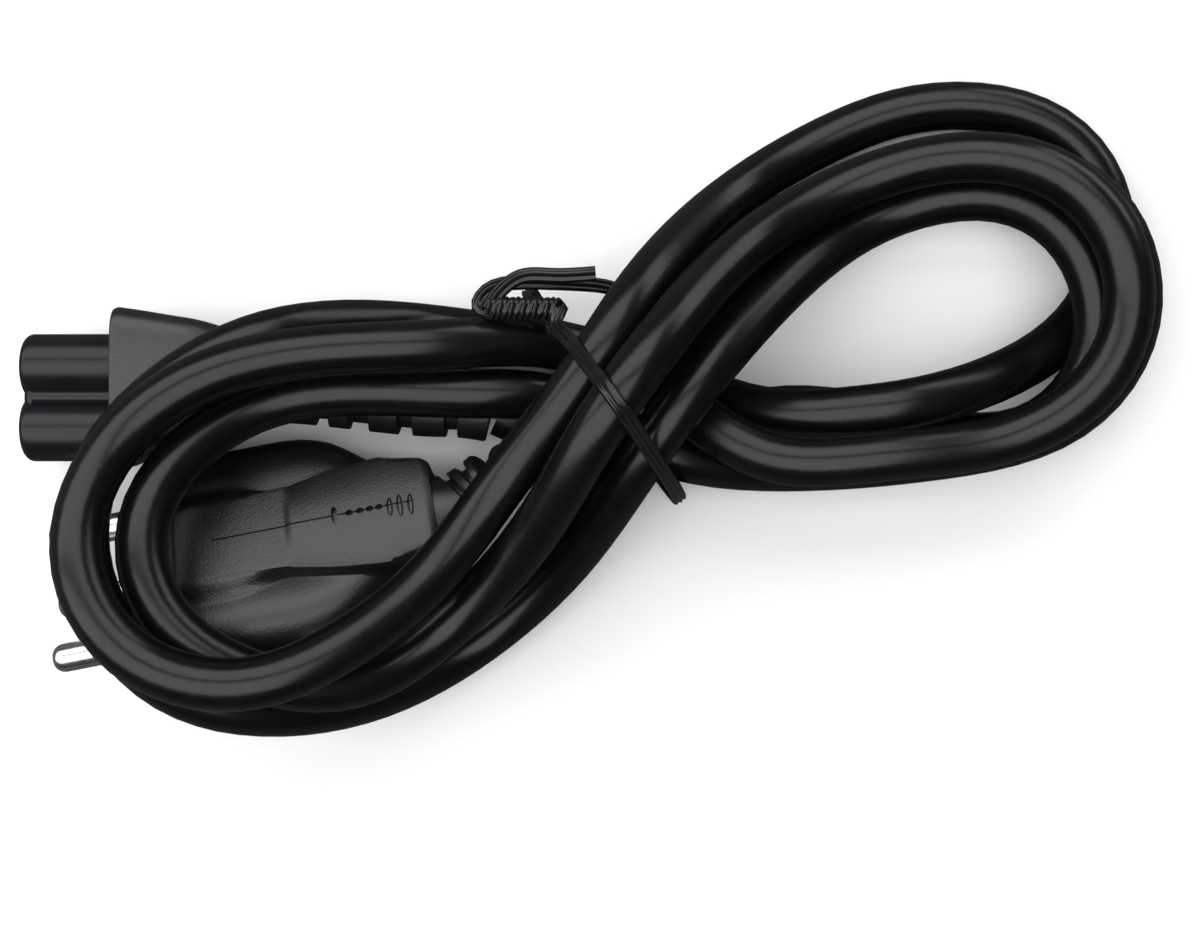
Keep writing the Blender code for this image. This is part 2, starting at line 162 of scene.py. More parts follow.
def plastic(name, colour, worn, roughness, unevenness, grains, relief, gloss):
    """A dark plastic: its colour drifts between two shades, and the grain makes its surface uneven."""
    material = bpy.data.materials.new(name)
    material.use_nodes = True
    nodes, links = material.node_tree.nodes, material.node_tree.links
    shader = nodes["Principled BSDF"]
    grain = nodes.new("ShaderNodeGroup")
    grain.node_tree = plastic_grain
    grain.inputs["Grains per metre"].default_value = grains
    grain.inputs["Relief"].default_value = relief
    grain.inputs["Roughness"].default_value = roughness
    grain.inputs["Unevenness"].default_value = unevenness
    shader.inputs["Specular IOR Level"].default_value = gloss
    shades = nodes.new("ShaderNodeMix")
    shades.data_type = "RGBA"
    shades.inputs["A"].default_value = (*colour, 1.0)
    shades.inputs["B"].default_value = (*worn, 1.0)
    links.new(grain.outputs["Patches"], shades.inputs["Factor"])
    links.new(shades.outputs["Result"], shader.inputs["Base Color"])
    links.new(grain.outputs["Roughness"], shader.inputs["Roughness"])
    links.new(grain.outputs["Normal"], shader.inputs["Normal"])
    return material


lead_pvc = plastic(
    "lead_pvc", LEAD_COLOUR, LEAD_WORN,
    roughness=0.26, unevenness=0.12, grains=2500.0, relief=0.12, gloss=0.34,
)
lead_line = smooth_line(LEAD_ROUTE, LEAD_STEPS)
for point in lead_line:
    point.z = max(point.z, LEAD_DIAMETER / 2)
lead_curve = bpy.data.curves.new("lead", "CURVE")
lead_curve.dimensions = "3D"
lead_curve.bevel_depth = LEAD_DIAMETER / 2
lead_curve.bevel_resolution = LEAD_BEVEL
lead_curve.use_fill_caps = True
lead_spline = lead_curve.splines.new("POLY")
lead_spline.points.add(len(lead_line) - 1)
for spot, point in zip(lead_spline.points, lead_line):
    spot.co = (*point, 1.0)
lead_curve.materials.append(lead_pvc)
lead = bpy.data.objects.new("lead", lead_curve)
bpy.context.scene.collection.objects.link(lead)
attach(lead, "root")
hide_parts("cord")


# The plug. Black PVC is moulded round the pins and the end of the lead in one shot. It is thick in the
# middle, where a flat grip shows its parting line, with a round lobe along each side. It lies rolled on one
# lobe.
PLUG_FACE = (-0.0581, -0.025, 0.01155)
PLUG_YAW = math.radians(11.0)
PLUG_ROLL = math.radians(27.0)
PLUG_SIDES = 224
PLUG_STATION = 0.0005  # between two rings of the body
PLUG_FRONT_STATIONS = (0.0, 0.00012, 0.0004)
PLUG_END = 0.0376
PLUG_BLEND = 0.0012  # how far along the body a section is averaged, each way
PLUG_SHARP_ENDS = (0.002, 0.0017)  # left without that, so that the front and back keep their edges
EDGE_SLOPE = 0.009  # how steeply the body's side edges round off
GRIP_START = 0.0170  # where the raised grip panel begins
GRIP_RISE = 0.00035
GRIP_STEP = 0.0004  # how long the step up to it is
GRIP_LIMITS = (0.88, 0.97)  # how near the body's edge the slope may start and end
GRIP_SHOULDER = 0.0009  # how wide the slope at the grip's edge is
SHOULDER_CORNERS = (0.40, 0.52)  # which of a ring's corners lie on that slope, by their cosine
GRIP_DOME = 0.0009  # how far the grip's top falls to its edges
HUMP_SHOULDER = 0.0032  # the softer slope beside the hump in front of the grip panel
HUMP_SOFT_UNTIL = 0.0080
# Distance from the face, half width, lobe half thickness, grip half thickness, grip half width, valley
# depth.
PLUG_SECTIONS = (
    (0.0, 0.0162, 0.0058, 0.0070, 0.0048, 0.0012),
    (0.001, 0.0171, 0.0066, 0.0079, 0.0052, 0.0016),
    (0.003, 0.0172, 0.0067, 0.0083, 0.0056, 0.0018),
    (0.010, 0.0172, 0.0067, 0.0083, 0.0056, 0.0019),
    (0.0166, 0.0172, 0.0067, 0.0083, 0.0060, 0.0020),
    (0.020, 0.0168, 0.0066, 0.0083, 0.0067, 0.0019),
    (0.0235, 0.0155, 0.0065, 0.0083, 0.0074, 0.0016),
    (0.0265, 0.0132, 0.0063, 0.0083, 0.0077, 0.0011),
    (0.029, 0.0110, 0.0062, 0.0083, 0.0080, 0.0006),
    (0.031, 0.0096, 0.0062, 0.0083, 0.0081, 0.0002),
    (0.033, 0.0090, 0.0064, 0.0083, 0.0080, 0.0),
    (0.035, 0.0087, 0.0066, 0.0083, 0.0077, 0.0),
    (0.0368, 0.0082, 0.0066, 0.0083, 0.0072, 0.0),
    (PLUG_END, 0.0074, 0.0060, 0.0078, 0.0064, 0.0),
)

back = Vector((math.cos(PLUG_YAW), math.sin(PLUG_YAW), 0.0))
side = Vector((math.sin(PLUG_YAW), -math.cos(PLUG_YAW), 0.0))
across = side * math.cos(PLUG_ROLL) + Vector((0, 0, 1)) * math.sin(PLUG_ROLL)
through = Vector((0, 0, 1)) * math.cos(PLUG_ROLL) - side * math.sin(PLUG_ROLL)
plug_place = Matrix.Translation(PLUG_FACE) @ Matrix((back, across, through)).transposed().to_4x4()


def section_at(sections, distance, blend, sharp_ends):
    """A section of a lofted body at this distance, averaged with its neighbours away from the ends."""
    table = np.array(sections)
    if not sharp_ends[0] < distance < table[-1, 0] - sharp_ends[1]:
        blend = 0.0
    spots = [distance + blend * k / 2 for k in (-2, -1, 0, 1, 2)]
    return [float(np.mean(np.interp(spots, table[:, 0], column))) for column in table.T[1:]]


def smooth_step(value):
    value = min(max(value, 0.0), 1.0)
    return value * value * (3 - 2 * value)


def plug_outline(distance, turn):
    """A point of the body's surface: turn goes round the section from its edge at the live pin."""
    section = section_at(PLUG_SECTIONS, distance, PLUG_BLEND, PLUG_SHARP_ENDS)
    half_width, lobe, grip, grip_width, valley = section
    raised = smooth_step((distance - GRIP_START) / GRIP_STEP)
    slope_start = min(grip_width, GRIP_LIMITS[0] * half_width)
    sharpness = smooth_step((distance - HUMP_SOFT_UNTIL) / (GRIP_START - HUMP_SOFT_UNTIL))
    shoulder = HUMP_SHOULDER + (GRIP_SHOULDER - HUMP_SHOULDER) * sharpness
    slope_end = min(slope_start + shoulder, GRIP_LIMITS[1] * half_width)
    corners = (0.0, *SHOULDER_CORNERS, 1.0)
    w = float(np.interp(abs(math.cos(turn)), corners, (0.0, slope_start, slope_end, half_width)))
    inner = half_width - lobe
    if w > inner:
        lobe_height = math.sqrt(max(lobe**2 - (w - inner) ** 2, 0.0))
    else:
        lobe_height = lobe - valley * math.cos(0.5 * math.pi * w / max(inner, 0.0001)) ** 2
    slope = smooth_step((w - slope_start) / (slope_end - slope_start))
    top = grip + GRIP_RISE * raised - GRIP_DOME * raised * (w / slope_end) ** 2
    edge = lobe_height + EDGE_SLOPE * math.sqrt(max(1 - w / half_width, 0.0))
    height = min(lobe_height + max(top - lobe_height, 0.0) * (1 - slope), edge)
    return Vector((distance, math.copysign(w, math.cos(turn)), math.copysign(height, math.sin(turn))))


def add_ring(bm, sides, outline):
    """A ring of a lofted body: a circle whose corners are moved to the section's outline."""
    corners = bmesh.ops.create_circle(bm, cap_ends=False, radius=1.0, segments=sides)["verts"]
    for corner in corners:
        corner.co = outline(math.atan2(corner.co.y, corner.co.x))
    return list({edge for corner in corners for edge in corner.link_edges})


def bridge_rings(bm, rings):
    """Joins the rings in turn and closes the first and the last."""
    for one, other in zip(rings, rings[1:]):
        bmesh.ops.bridge_loops(bm, edges=one + other)
    bmesh.ops.contextual_create(bm, geom=rings[0])
    bmesh.ops.contextual_create(bm, geom=rings[-1])


def finish_piece(bm, name, material, nodes, crease=35.0):
    """The bmesh as an object: faces out, smooth but for its creases, in place of these nodes if any."""
    bmesh.ops.recalc_face_normals(bm, faces=bm.faces)
    for face in bm.faces:
        face.smooth = True
    mesh = bpy.data.meshes.new(name)
    bm.to_mesh(mesh)
    bm.free()
    mesh.set_sharp_from_angle(angle=math.radians(crease))
    mesh.materials.append(material)
    piece = bpy.data.objects.new(name, mesh)
    bpy.context.scene.collection.objects.link(piece)
    if nodes:
        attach(piece, "root")
        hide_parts(*nodes)
    return piece


def carve(piece, bm):
    """Cuts the bmesh out of the piece."""
    cutter = finish_piece(bm, "cutter", piece.data.materials[0], [])
    modifier = piece.modifiers.new("carve", "BOOLEAN")
    modifier.operation = "DIFFERENCE"
    modifier.solver = "EXACT"
    modifier.object = cutter
    graph = bpy.context.evaluated_depsgraph_get()
    carved = bpy.data.meshes.new_from_object(piece.evaluated_get(graph))
    piece.modifiers.clear()
    old, cutter_mesh = piece.data, cutter.data
    piece.data = carved
    bpy.data.meshes.remove(old)
    bpy.data.objects.remove(cutter, do_unlink=True)
    bpy.data.meshes.remove(cutter_mesh)


def rod(bm, place, radius, start, end, sides=40):
    """A cylinder along the place's own X, from start to end."""
    middle = Matrix.Translation(((start + end) / 2, 0, 0))
    turned = place @ middle @ Matrix.Rotation(math.radians(90), 4, "Y")
    bmesh.ops.create_cone(
        bm, cap_ends=True, radius1=radius, radius2=radius, depth=end - start, segments=sides, matrix=turned
    )


PVC_COLOUR = (0.0035, 0.0035, 0.0035)
PVC_WORN = (0.009, 0.0095, 0.009)
moulded_pvc = plastic(
    "moulded_pvc", PVC_COLOUR, PVC_WORN,
    roughness=0.36, unevenness=0.15, grains=3200.0, relief=0.5, gloss=0.6,
)

bm = bmesh.new()
stations = [*PLUG_FRONT_STATIONS, *np.arange(0.001, PLUG_END, PLUG_STATION), PLUG_END - 0.0003, PLUG_END]
rings = []
for station in sorted(stations):
    rings.append(add_ring(bm, PLUG_SIDES, lambda turn, s=station: plug_outline(s, turn)))
bridge_rings(bm, rings)
bmesh.ops.transform(bm, matrix=plug_place, verts=bm.verts)
plug = finish_piece(bm, "plug_moulding", moulded_pvc, ["plug_body"])

# The parting line runs down the middle of the grip. Upright ovals and a row of small dimples lie along it.
SEAM_WIDTH = 0.00022
SEAM_DEPTH = 0.0004
HUMP_TOP = 0.0083
GRIP_TOP = HUMP_TOP + GRIP_RISE
# Start, end and height of the surface that it is cut into.
SEAM_RUNS = ((0.0065, GRIP_START + 0.0002, HUMP_TOP), (GRIP_START + 0.0001, 0.0350, GRIP_TOP))
CUTTER_HEIGHT = 0.002
OVAL_DEPTH = 0.0010
OVAL_HALF_WIDTH = 0.00045
OVAL_GROOVE = 0.00028
OVAL_SIDES = 28
# Distance behind the face, its middle across the grip, its reach to each side, and its groove's width.
OVALS = (
    (0.0239, 0.0, 0.0014, 0.0),
    (0.0317, 0.0003, 0.0014, OVAL_GROOVE),
    (0.0331, 0.0004, 0.0017, OVAL_GROOVE),
    (0.0346, 0.0005, 0.0016, OVAL_GROOVE),
)
DIMPLES = (0.0260, 0.0275, 0.0289, 0.0302)
DIMPLE_SIZE = (0.00055, 0.00045)


def oval_cutter(bm, spot, half_size, groove):
    """An upright oval prism, or the wall of one where a groove is given."""
    loops = []
    for inset in (0.0, groove):
        loop = bmesh.ops.create_circle(bm, cap_ends=False, radius=1.0, segments=OVAL_SIDES)["verts"]
        size = Matrix.Diagonal((half_size[0] - inset, half_size[1] - inset, 1.0, 1.0))
        bmesh.ops.transform(bm, matrix=plug_place @ Matrix.Translation(spot) @ size, verts=loop)
        loops.append(list({edge for corner in loop for edge in corner.link_edges}))
        if not groove:
            break
    if groove:
        base = bmesh.ops.bridge_loops(bm, edges=loops[0] + loops[1])["faces"]
    else:
        base = bmesh.ops.contextual_create(bm, geom=loops[0])["faces"]
    grown = bmesh.ops.extrude_face_region(bm, geom=base, use_keep_orig=True)["geom"]
    corners = [part for part in grown if isinstance(part, bmesh.types.BMVert)]
    bmesh.ops.translate(bm, vec=through * CUTTER_HEIGHT, verts=corners)


for start, end, height in SEAM_RUNS:
    size = Matrix.Diagonal((end - start, SEAM_WIDTH, CUTTER_HEIGHT, 1.0))
    spot = Matrix.Translation(((start + end) / 2, 0.0, height - SEAM_DEPTH + CUTTER_HEIGHT / 2))
    bm = bmesh.new()
    bmesh.ops.create_cube(bm, size=1.0, matrix=plug_place @ spot @ size)
    carve(plug, bm)
oval_floor = GRIP_TOP - OVAL_DEPTH
for distance, middle, reach, groove in OVALS:
    bm = bmesh.new()
    oval_cutter(bm, (distance, middle, oval_floor), (OVAL_HALF_WIDTH, reach), groove)
    carve(plug, bm)
bm = bmesh.new()
for distance in DIMPLES:
    oval_cutter(bm, (distance, 0.0, oval_floor), DIMPLE_SIZE, 0.0)
carve(plug, bm)


# The pins. Three turned brass rods with a bright nickel plate and a rounded tip, moulded into the plug's
# face: live and neutral in a line, and earth set off to one side of it.
PIN_RADIUS = 0.002
PIN_FLAT = 0.0007  # radius of the flat on its tip
PIN_LENGTH = 0.019
PIN_SOCKET = 0.0027
PIN_TIP = 0.0016
PIN_TIP_STEPS = 8
PIN_SIDES = 48
SOCKET_CLEARANCE = 0.0003
SOCKET_REACH = (-0.001, 0.003)
# The piece, the node it replaces, then how far across and through the plug it stands.
PINS = (
    ("live_pin", "pin_live", 0.0095, 0.0),
    ("neutral_pin", "pin_neutral", -0.0095, 0.0),
    ("earth_pin", "pin_earth", 0.0, -0.003),
)


def make_nickel():
    material = bpy.data.materials.new("bright_nickel")
    material.use_nodes = True
    nodes, links = material.node_tree.nodes, material.node_tree.links
    shader = nodes["Principled BSDF"]
    shader.inputs["Metallic"].default_value = 1.0
    place = nodes.new("ShaderNodeTexCoord")
    noise = nodes.new("ShaderNodeTexNoise")
    noise.inputs["Scale"].default_value = 900.0
    noise.inputs["Detail"].default_value = 5.0
    links.new(place.outputs["Object"], noise.inputs["Vector"])
    colours = nodes.new("ShaderNodeValToRGB")
    colours.color_ramp.elements[0].position = 0.3
    colours.color_ramp.elements[0].color = (0.55, 0.54, 0.51, 1.0)
    colours.color_ramp.elements[1].position = 0.65
    colours.color_ramp.elements[1].color = (0.72, 0.71, 0.68, 1.0)
    links.new(noise.outputs["Fac"], colours.inputs["Fac"])
    links.new(colours.outputs["Color"], shader.inputs["Base Color"])
    rough = nodes.new("ShaderNodeMapRange")
    rough.inputs["To Min"].default_value = 0.16
    rough.inputs["To Max"].default_value = 0.30
    links.new(noise.outputs["Fac"], rough.inputs["Value"])
    links.new(rough.outputs["Result"], shader.inputs["Roughness"])
    return material


bright_nickel = make_nickel()
for name, node, spread, offset in PINS:
    profile = [(-PIN_LENGTH, 0.0), (-PIN_LENGTH, PIN_FLAT)]
    for k in range(1, PIN_TIP_STEPS + 1):
        turn = math.pi / 2 * k / PIN_TIP_STEPS
        radius = PIN_FLAT + (PIN_RADIUS - PIN_FLAT) * math.sin(turn)
        profile.append((-PIN_LENGTH + PIN_TIP * (1 - math.cos(turn)), radius))
    profile += [(-0.0005, PIN_RADIUS), (PIN_SOCKET, PIN_RADIUS), (PIN_SOCKET, 0.0)]
    bm = bmesh.new()
    corners = [bm.verts.new((x, r, 0.0)) for x, r in profile]
    edges = [bm.edges.new(pair) for pair in zip(corners, corners[1:])]
    whole = corners + edges
    bmesh.ops.spin(
        bm, geom=whole, cent=(0, 0, 0), axis=(1, 0, 0), angle=2 * math.pi, steps=PIN_SIDES, use_merge=True
    )
    bmesh.ops.remove_doubles(bm, verts=bm.verts, dist=0.000001)
    pin_place = plug_place @ Matrix.Translation((0.0, spread, offset))
    bmesh.ops.transform(bm, matrix=pin_place, verts=bm.verts)
    finish_piece(bm, name, bright_nickel, [node], crease=40.0)
    bm = bmesh.new()
    rod(bm, pin_place, PIN_RADIUS + SOCKET_CLEARANCE, *SOCKET_REACH)
    carve(plug, bm)
plug.data.set_sharp_from_angle(angle=math.radians(35.0))


# The strain reliefs. A ribbed sleeve of the same PVC runs from the plug's end, and a longer one from the
# connector's hood, so that the lead bends gently there. Open slots between the ribs let them flex.
RELIEF_SIDES = 48
SLOT_DEPTH = 0.0011
SLOT_SLOPE = 0.00015
SLEEVE_STATION = 0.001  # between two rings of a sleeve
SLEEVE_EDGE = 0.0003  # the rounding at its ends
PLUG_RELIEF = (
    (-0.0230, -0.0182, 0.0118), (-0.0186, -0.0163, 0.0117),
    (-0.0158, -0.0134, 0.0114), (-0.0139, -0.0115, 0.0117),
)
PLUG_RELIEF_RADII = (0.0072, 0.0064, 0.0050, 0.0046)
PLUG_SLOTS = ((0.0064, 0.0076), (0.0092, 0.0102))
HOOD_RELIEF = (
    (-0.0496, 0.0014, 0.0081), (-0.0426, 0.0011, 0.0082), (-0.0346, 0.0002, 0.0083),
    (-0.0246, -0.0009, 0.0084), (-0.0189, -0.0012, 0.0085), (-0.0143, -0.002, 0.0082),
)
HOOD_RELIEF_RADII = (0.0048, 0.0047, 0.0046, 0.0045, 0.0044, 0.0043)
HOOD_SLOTS = ((0.0045, 0.0064), (0.0105, 0.0124), (0.0155, 0.0182), (0.0225, 0.0244), (0.0290, 0.0309))


def ribbed_sleeve(name, route, radii, slots, nodes):
    """A tapered sleeve along a route. Each slot is a start and an end, as distances along it."""
    line = smooth_line([(*spot, radius) for spot, radius in zip(route, radii)], 40)
    spots = [Vector(point[:3]) for point in line]
    steps = [0.0]
    for one, other in zip(spots, spots[1:]):
        steps.append(steps[-1] + (other - one).length)
    cuts = {edge + shift for slot in slots for edge in slot for shift in (-SLOT_SLOPE, SLOT_SLOPE)}
    even = np.arange(SLEEVE_STATION, steps[-1] - SLEEVE_STATION, SLEEVE_STATION)
    stops = sorted({0.0, SLEEVE_EDGE, steps[-1] - SLEEVE_EDGE, steps[-1], *cuts, *even})

    def at(distance):
        return Vector([float(np.interp(distance, steps, [spot[c] for spot in spots])) for c in range(3)])

    bm = bmesh.new()
    rings = []
    upright = Vector((0, 0, 1))
    for stop in stops:
        centre = at(stop)
        radius = float(np.interp(stop, steps, [point[3] for point in line]))
        along = (at(stop + SLEEVE_STATION) - at(stop - SLEEVE_STATION)).normalized()
        across_it = along.cross(upright).normalized()
        over_it = across_it.cross(along)
        if any(start < stop < end for start, end in slots):
            radius -= SLOT_DEPTH
        if stop in (0.0, steps[-1]):
            radius -= SLEEVE_EDGE

        def outline(turn, centre=centre, radius=radius, across_it=across_it, over_it=over_it):
            return centre + radius * (across_it * math.cos(turn) + over_it * math.sin(turn))

        rings.append(add_ring(bm, RELIEF_SIDES, outline))
    bridge_rings(bm, rings)
    return finish_piece(bm, name, moulded_pvc, nodes)


plug_relief = ribbed_sleeve("plug_relief", PLUG_RELIEF, PLUG_RELIEF_RADII, PLUG_SLOTS, ["plug_body"])
ribbed_sleeve("hood_relief", HOOD_RELIEF, HOOD_RELIEF_RADII, HOOD_SLOTS, ["connector_hood"])


# The connector's hood. The same matt black PVC, moulded round the back of the connector as a flat grip that
# tapers into its strain relief. Its front stands up square from the nose.
HOOD_FRONT = -0.0677
HOOD_MIDDLE_HEIGHT = 0.008
HOOD_SIDES = 96
HOOD_SQUARENESS = 0.36  # 1 is an ellipse, as at its back end
HOOD_END = 0.0201
HOOD_STATION = 0.0005  # between two rings of the body
HOOD_BLEND = 0.0015  # how far along the body a section is averaged, each way
HOOD_SHARP_ENDS = (0.0022, 0.0016)
# Distance behind the hood's front, half width, half height, middle in Y.
HOOD_SECTIONS = (
    (0.0, 0.0109, 0.0075, 0.0016),
    (0.00015, 0.0112, 0.0078, 0.0016),
    (0.0006, 0.0114, 0.008, 0.0016),
    (0.0035, 0.0106, 0.008, 0.002),
    (0.0075, 0.0097, 0.008, 0.0022),
    (0.0121, 0.0089, 0.0077, 0.0023),
    (0.0156, 0.008, 0.007, 0.0021),
    (0.0181, 0.0066, 0.006, 0.0017),
    (HOOD_END, 0.0052, 0.005, 0.0014),
)
bm = bmesh.new()
rings = []
for stop in sorted({*[row[0] for row in HOOD_SECTIONS], *np.arange(0.001, HOOD_END, HOOD_STATION)}):
    half_width, half_height, middle = section_at(HOOD_SECTIONS, stop, HOOD_BLEND, HOOD_SHARP_ENDS)
    power = HOOD_SQUARENESS + (1.0 - HOOD_SQUARENESS) * smooth_step((stop - HOOD_END / 2) / (HOOD_END / 2))

    def outline(turn, stop=stop, half_width=half_width, half_height=half_height, middle=middle, power=power):
        y = half_width * math.copysign(abs(math.cos(turn)) ** power, math.cos(turn))
        z = half_height * math.copysign(abs(math.sin(turn)) ** power, math.sin(turn))
        return Vector((HOOD_FRONT + stop, middle + y, HOOD_MIDDLE_HEIGHT + z))

    rings.append(add_ring(bm, HOOD_SIDES, outline))
bridge_rings(bm, rings)
finish_piece(bm, "connector_grip", moulded_pvc, ["connector_hood"])


# The connector's nose. Hard black plastic with three round lobes, one for each contact, and a contact hole
# in each lobe's front. It is glossier than the hood, with a faint purple cast.
NOSE_FRONT = -0.081
NOSE_LENGTH = 0.0130
NOSE_MIDDLE = (0.0001, 0.008)
NOSE_CORE = 0.0041
NOSE_ROUNDING = 0.0013
NOSE_ROUNDING_STEPS = 8
RIB_HALF_WIDTH = 0.0011
RIB_TOP = 0.0052
RIB_ROUNDING = 0.0006
RIB_START = 0.0015
RIB_SLOPE = 0.00015
NOSE_SIDES = 180
LOBE_RADIUS = 0.0044
LOBES = ((-0.00475, 0.0019), (0.00475, 0.0019), (0.0, -0.0031))
CONTACT_HOLE = 0.00145
CONTACT_SEAT = 0.0018
CONTACT_LIP = 0.0015
CONTACT_DEPTH = 0.0098
NOSE_BORES = ((CONTACT_HOLE, -0.001, CONTACT_LIP + 0.0001), (CONTACT_SEAT, CONTACT_LIP, CONTACT_DEPTH))


def nose_reach(turn, ribbed):
    """Distance from the nose's middle to its outline, with or without the rib between the upper lobes."""
    reach = NOSE_CORE
    for y, z in LOBES:
        ahead = y * math.cos(turn) + z * math.sin(turn)
        inside = LOBE_RADIUS**2 - (y * y + z * z) + ahead * ahead
        if inside > 0:
            reach = max(reach, ahead + math.sqrt(inside))
    if ribbed and math.sin(turn) > 0.9:
        rib_top = RIB_TOP - RIB_ROUNDING * (RIB_TOP * math.cos(turn) / RIB_HALF_WIDTH) ** 2
        reach = max(reach, min(RIB_HALF_WIDTH / max(abs(math.cos(turn)), 0.0001), rib_top / math.sin(turn)))
    return reach


NOSE_COLOUR = (0.005, 0.0042, 0.0056)
NOSE_WORN = (0.009, 0.0075, 0.010)
hard_plastic = plastic(
    "hard_plastic", NOSE_COLOUR, NOSE_WORN,
    roughness=0.30, unevenness=0.12, grains=1500.0, relief=0.1, gloss=0.3,
)
bm = bmesh.new()
rings = []
nose_stops = []
for k in range(NOSE_ROUNDING_STEPS + 1):
    turn = math.pi / 2 * k / NOSE_ROUNDING_STEPS
    nose_stops.append((NOSE_ROUNDING * (1 - math.cos(turn)), NOSE_ROUNDING * (1 - math.sin(turn)), False))
nose_stops += [(RIB_START, 0.0, False), (RIB_START + RIB_SLOPE, 0.0, True), (NOSE_LENGTH, 0.0, True)]
for stop, inset, ribbed in nose_stops:

    def nose_outline(turn, stop=stop, inset=inset, ribbed=ribbed):
        reach = nose_reach(turn, ribbed) - inset
        y = NOSE_MIDDLE[0] + reach * math.cos(turn)
        return Vector((NOSE_FRONT + stop, y, NOSE_MIDDLE[1] + reach * math.sin(turn)))

    rings.append(add_ring(bm, NOSE_SIDES, nose_outline))
bridge_rings(bm, rings)
nose = finish_piece(bm, "connector_nose_moulding", hard_plastic, ["connector_nose"])
for y, z in LOBES:
    hole_place = Matrix.Translation((NOSE_FRONT, NOSE_MIDDLE[0] + y, NOSE_MIDDLE[1] + z))
    for radius, start, end in NOSE_BORES:
        bm = bmesh.new()
        rod(bm, hole_place, radius, start, end)
        carve(nose, bm)
nose.data.set_sharp_from_angle(angle=math.radians(35.0))


# The contacts. A sprung sleeve of thin brass sits behind each hole in the nose and grips the inlet's pin.
def make_brass():
    material = bpy.data.materials.new("contact_brass")
    material.use_nodes = True
    nodes, links = material.node_tree.nodes, material.node_tree.links
    shader = nodes["Principled BSDF"]
    shader.inputs["Metallic"].default_value = 1.0
    place = nodes.new("ShaderNodeTexCoord")
    noise = nodes.new("ShaderNodeTexNoise")
    noise.inputs["Scale"].default_value = 700.0
    links.new(place.outputs["Object"], noise.inputs["Vector"])
    colours = nodes.new("ShaderNodeValToRGB")
    colours.color_ramp.elements[0].color = (0.42, 0.28, 0.11, 1.0)
    colours.color_ramp.elements[1].color = (0.68, 0.48, 0.22, 1.0)
    links.new(noise.outputs["Fac"], colours.inputs["Fac"])
    links.new(colours.outputs["Color"], shader.inputs["Base Color"])
    shader.inputs["Roughness"].default_value = 0.35
    return material


contact_brass = make_brass()
for name in ("contact_live", "contact_neutral", "contact_earth"):
    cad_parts[name].data.materials[0] = contact_brass


# The twist tie. A flat ribbed ribbon of black plastic with a thin wire inside it, wrapped once round the
# crossing and twisted on itself, with both tails left long.
TIE_WIDTH = 0.0021
TIE_THICKNESS = 0.0008
TIE_FLATNESS = 0.6  # share of that left between the ridges
TIE_EDGE = 2.2  # larger is squarer at the ribbon's edges
TIE_RIDGE_HEIGHT = 0.0003
TIE_SIDES = 48
TIE_RIDGES = 3
TIE_LINE_STEPS = 3
TIE_TAIL_TOP = (
    (0.0008, 0.0168, 0.0202), (-0.0039, 0.0165, 0.0203), (-0.0073, 0.0166, 0.0205),
    (-0.0095, 0.0163, 0.0208), (-0.0113, 0.0152, 0.0212), (-0.013, 0.0133, 0.0218),
)
TIE_TAIL_UNDER = (
    (-0.0154, 0.0123, 0.0192), (-0.0143, 0.0146, 0.0184), (-0.0108, 0.0158, 0.0176),
    (-0.0051, 0.0159, 0.0166), (0.0009, 0.0158, 0.0145), (0.0034, 0.0153, 0.0138),
)
TIE_KNOT = (-0.0137, -0.0041)
TIE_KNOT_AXIS = (0.0116, 0.0215)
TIE_KNOT_RADIUS = 0.00115
TIE_KNOT_TURNS = 3
TIE_KNOT_STEPS = 12  # for each turn
TIE_KNOT_LOOSENESS = 0.00025
TIE_KNOT_DRIFT = 0.55  # how fast that comes and goes
TIE_PLANE = (-0.004, 0.0086)
TIE_PLANE_TURN = math.radians(-53.9)
# The loop lies in an upright plane: distance along it, then height.
TIE_LOOP_MIDDLE = (0.0105, 0.017)
TIE_LOOP = (
    (-0.0010, 0.0239), (0.0006, 0.0270), (0.0020, 0.0299), (0.0036, 0.0321), (0.0065, 0.0344),
    (0.0089, 0.0379), (0.0127, 0.0397), (0.0157, 0.0379), (0.0174, 0.0352), (0.0208, 0.0305),
    (0.0241, 0.0262), (0.0262, 0.0216), (0.0279, 0.0160), (0.0286, 0.0102), (0.0283, 0.0052),
    (0.0264, 0.0017), (0.0225, 0.0009), (0.0120, 0.0009), (0.0010, 0.0009), (-0.0052, 0.0014),
    (-0.0077, 0.0036), (-0.0081, 0.0080), (-0.0082, 0.0130), (-0.0066, 0.0174), (-0.0038, 0.0190),
)


